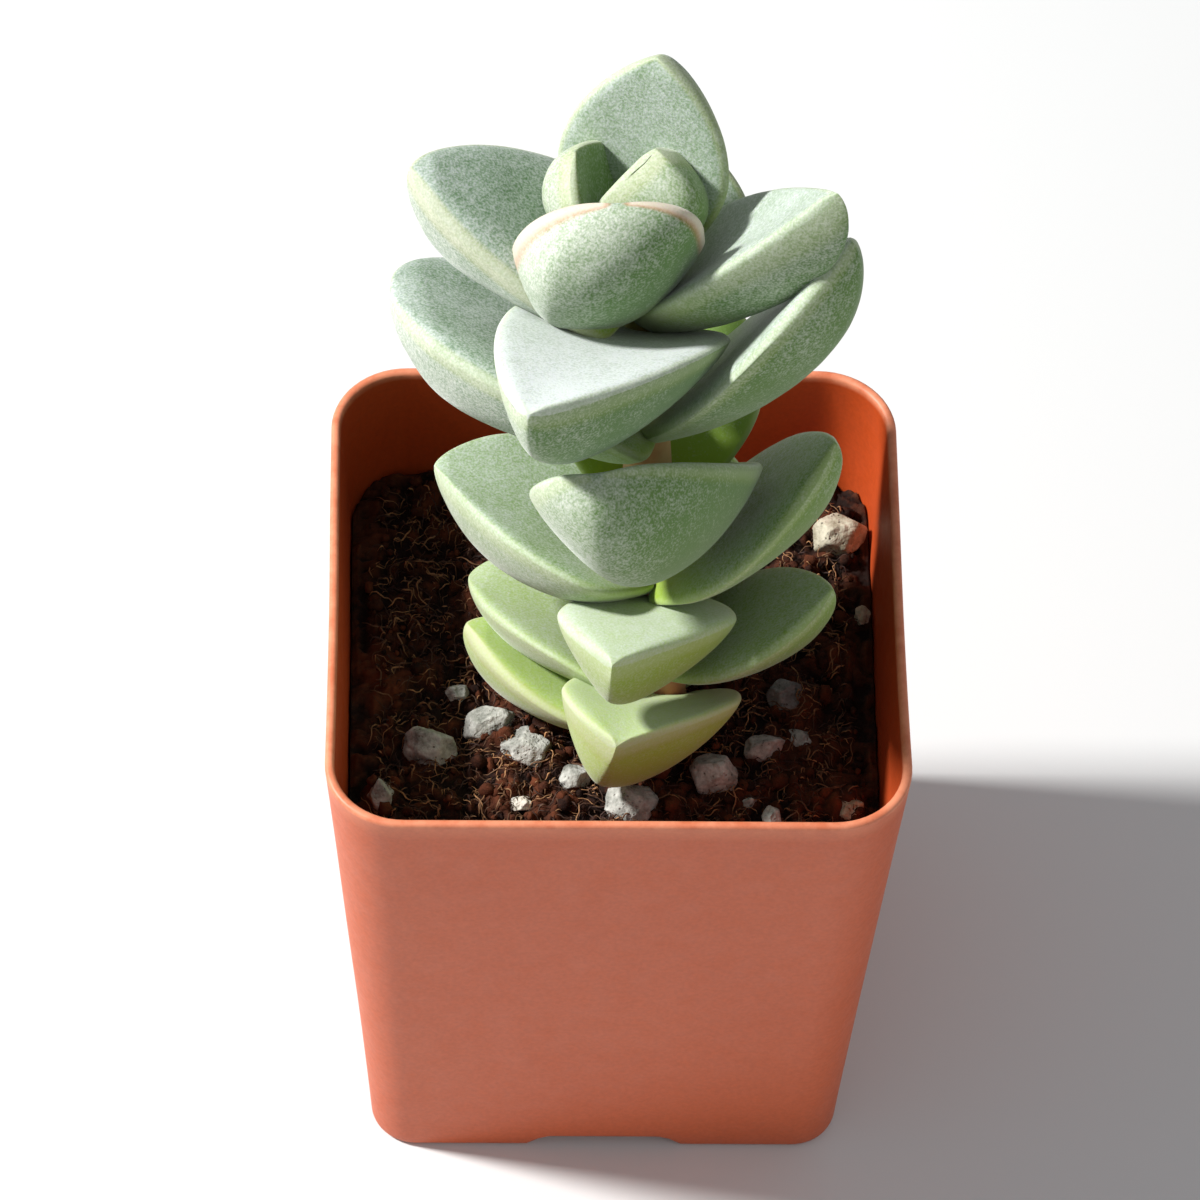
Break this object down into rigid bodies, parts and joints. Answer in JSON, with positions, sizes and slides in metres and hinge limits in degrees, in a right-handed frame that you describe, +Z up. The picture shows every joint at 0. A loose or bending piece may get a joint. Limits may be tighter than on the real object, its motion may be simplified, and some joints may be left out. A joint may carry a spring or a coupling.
{
  "type": "potted moonglow crassula",
  "caption": "Moonglow crassula: crossed pairs of thick keeled grey-green leaves on a leaning stem, in a square tapered nursery pot with coir soil and pumice.",
  "frame": {"origin": "on the floor under the middle of the pot", "axes": "+Z up, the side seen in the picture faces -Y, +X to the viewer's right"},
  "size_m": [0.0574, 0.057, 0.1246],
  "materials": {
    "leaf": "grey-green leaf skin under a pale velvety bloom",
    "old_leaf": "yellow-green leaf skin under a thin bloom",
    "stem": "smooth reddish-brown stem",
    "soil": "rough dark brown coir and peat crumbs",
    "pumice": "rough grey-white pumice",
    "pot": "satin terracotta-coloured moulded plastic"
  },
  "bodies": {
    "root": {"leaf_01_left": "leaf", "leaf_01_right": "leaf", "leaf_02_front": "leaf", "leaf_02_back": "leaf", "leaf_03_left": "leaf", "leaf_03_right": "leaf", "leaf_04_front": "leaf", "leaf_04_back": "leaf", "leaf_05_left": "leaf", "leaf_05_right": "leaf", "leaf_06_front": "leaf", "leaf_06_back": "leaf", "leaf_07_left": "leaf", "leaf_07_right": "leaf", "leaf_08_front": "old_leaf", "leaf_08_back": "old_leaf", "leaf_09_left": "old_leaf", "leaf_09_right": "old_leaf", "leaf_10_front": "old_leaf", "leaf_10_back": "old_leaf", "leaf_11_left": "old_leaf", "stem": "stem", "soil": "soil", "pot": "pot", "stone_01": "pumice", "stone_02": "pumice", "stone_03": "pumice", "stone_04": "pumice", "stone_05": "pumice", "stone_06": "pumice", "stone_07": "pumice", "stone_08": "pumice", "stone_09": "pumice", "stone_10": "pumice", "stone_11": "pumice", "stone_12": "pumice", "stone_13": "pumice", "stone_14": "pumice", "stone_15": "pumice", "stone_16": "pumice", "stone_17": "pumice", "stone_18": "pumice"}
  },
  "joints": []
}
